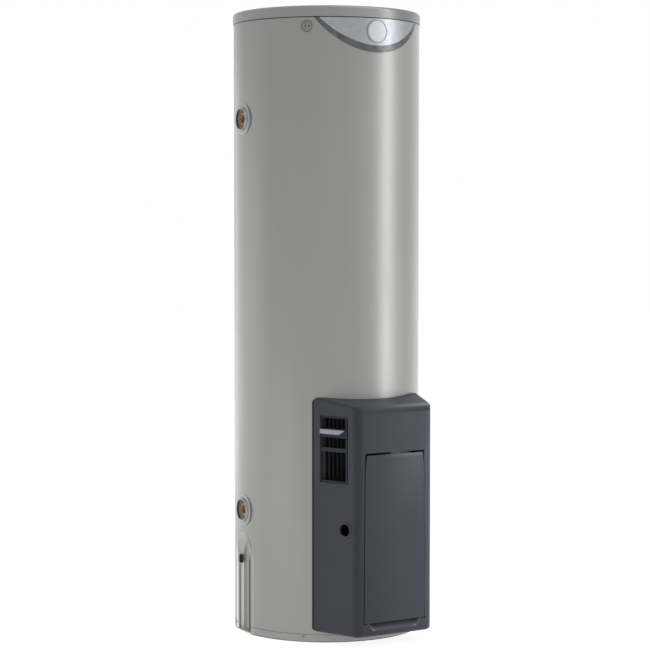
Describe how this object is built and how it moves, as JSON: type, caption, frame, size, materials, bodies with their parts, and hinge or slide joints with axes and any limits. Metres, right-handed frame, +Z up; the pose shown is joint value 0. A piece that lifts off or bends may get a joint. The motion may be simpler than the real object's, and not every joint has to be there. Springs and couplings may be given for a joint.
{
  "type": "gas storage water heater",
  "caption": "Tall cylindrical outdoor gas storage water heater with a low front cover, a hinged access door, side vents and two threaded water connections.",
  "frame": {"origin": "centre of the round foot, on the floor, on the jacket's axis", "axes": "+Z up along the jacket's axis; the front cover faces -Y; the water connections are at -X"},
  "size_m": [0.5105, 0.5884, 1.655],
  "materials": {
    "jacket_paint": "satin metallic silver-grey",
    "channel_steel": "satin",
    "fastener_steel": "zinc plated",
    "port_trim": "light grey moulded",
    "brass": "machined",
    "crescent_silver": "brushed silver",
    "crescent_dark": "gunmetal",
    "badge": "satin silver, bare",
    "plug_plastic": "moulded",
    "tank_enamel": "glass-lined steel",
    "foam_insulation": "rigid polyurethane foam",
    "fibre_insulation": "pressed mineral fibre",
    "flue_steel": "plain steel",
    "magnesium": "cast magnesium",
    "chamber_steel": "black heat-proof paint",
    "glass": "clear",
    "burner_steel": "pressed stainless",
    "copper": "drawn copper",
    "ceramic": "glazed white",
    "lead_rubber": "silicone lead",
    "cover_plastic": "satin dark slate moulding",
    "grille_plastic": "moulded",
    "deflector_steel": "bright stainless",
    "rubber": "moulded",
    "valve_aluminium": "die-cast",
    "knob_plastic": "moulded",
    "button_plastic": "moulded red",
    "tray_steel": "galvanised"
  },
  "bodies": {
    "heater": {"jacket_shell": "jacket_paint", "top_lid": "jacket_paint", "base_band": "jacket_paint", "base_pan": "tray_steel", "base_screws": "fastener_steel", "side_channel": "channel_steel", "port_trim_upper": "port_trim", "port_trim_lower": "port_trim", "hot_outlet_socket": "brass", "cold_inlet_socket": "brass", "crescent_plate": "crescent_silver", "crescent_band": "crescent_dark", "badge_blank": "badge", "foam_fill_plug": "plug_plastic", "storage_tank": "tank_enamel", "tank_skirt": "tank_enamel", "insulation_foam": "foam_insulation", "base_insulation": "fibre_insulation", "flue_tube": "flue_steel", "flue_baffle": "flue_steel", "flue_box": "flue_steel", "anode_rod": "magnesium", "hot_pickup_tube": "plug_plastic", "inlet_diffuser": "plug_plastic", "chamber_pad": "fibre_insulation", "chamber_door": "chamber_steel", "chamber_door_screws": "fastener_steel", "sight_glass": "glass", "burner_head": "burner_steel", "burner_venturi": "burner_steel", "burner_support": "burner_steel", "gas_manifold_tube": "copper", "gas_orifice": "brass", "pilot_burner": "burner_steel", "pilot_tube": "copper", "thermocouple": "copper", "igniter_electrode": "ceramic", "igniter_lead": "lead_rubber", "front_cover": "cover_plastic", "door_hinge_pin": "fastener_steel", "left_vent_grille": "grille_plastic", "right_vent_grille": "grille_plastic", "left_flue_deflector": "deflector_steel", "right_flue_deflector": "deflector_steel", "gas_pipe_grommet": "rubber", "gas_control_body": "valve_aluminium", "igniter_body": "knob_plastic", "igniter_bracket": "fastener_steel", "gas_inlet_fitting": "brass", "thermostat_probe": "brass", "cover_brackets": "fastener_steel", "cover_screws": "fastener_steel"},
    "door": {"access_door": "cover_plastic"},
    "knob": {"gas_control_knob": "knob_plastic"},
    "dial": {"temperature_dial": "knob_plastic"},
    "pilot_push": {"pilot_button": "button_plastic"},
    "igniter_push": {"igniter_button": "button_plastic"}
  },
  "joints": [
    {"name": "door_hinge", "type": "hinge", "parent": "heater", "child": "door", "pos_m": [0, -0.3244, 0.489], "axis": [-1, 0, 0], "range_deg": [0, 95]},
    {"name": "gas_knob_turn", "type": "hinge", "parent": "heater", "child": "knob", "pos_m": [-0.01, -0.3154, 0.337], "axis": [0, -1, 0], "range_deg": [0, 180]},
    {"name": "dial_turn", "type": "hinge", "parent": "heater", "child": "dial", "pos_m": [0, -0.3154, 0.281], "axis": [0, -1, 0], "range_deg": [0, 240]},
    {"name": "pilot_button_push", "type": "slide", "parent": "heater", "child": "pilot_push", "axis": [0, 1, 0], "range_m": [0, 0.005], "stiffness_N_per_m": 400, "springref_m": -0.003},
    {"name": "igniter_button_push", "type": "slide", "parent": "heater", "child": "igniter_push", "axis": [0, 1, 0], "range_m": [0, 0.005], "stiffness_N_per_m": 800, "springref_m": -0.003}
  ]
}
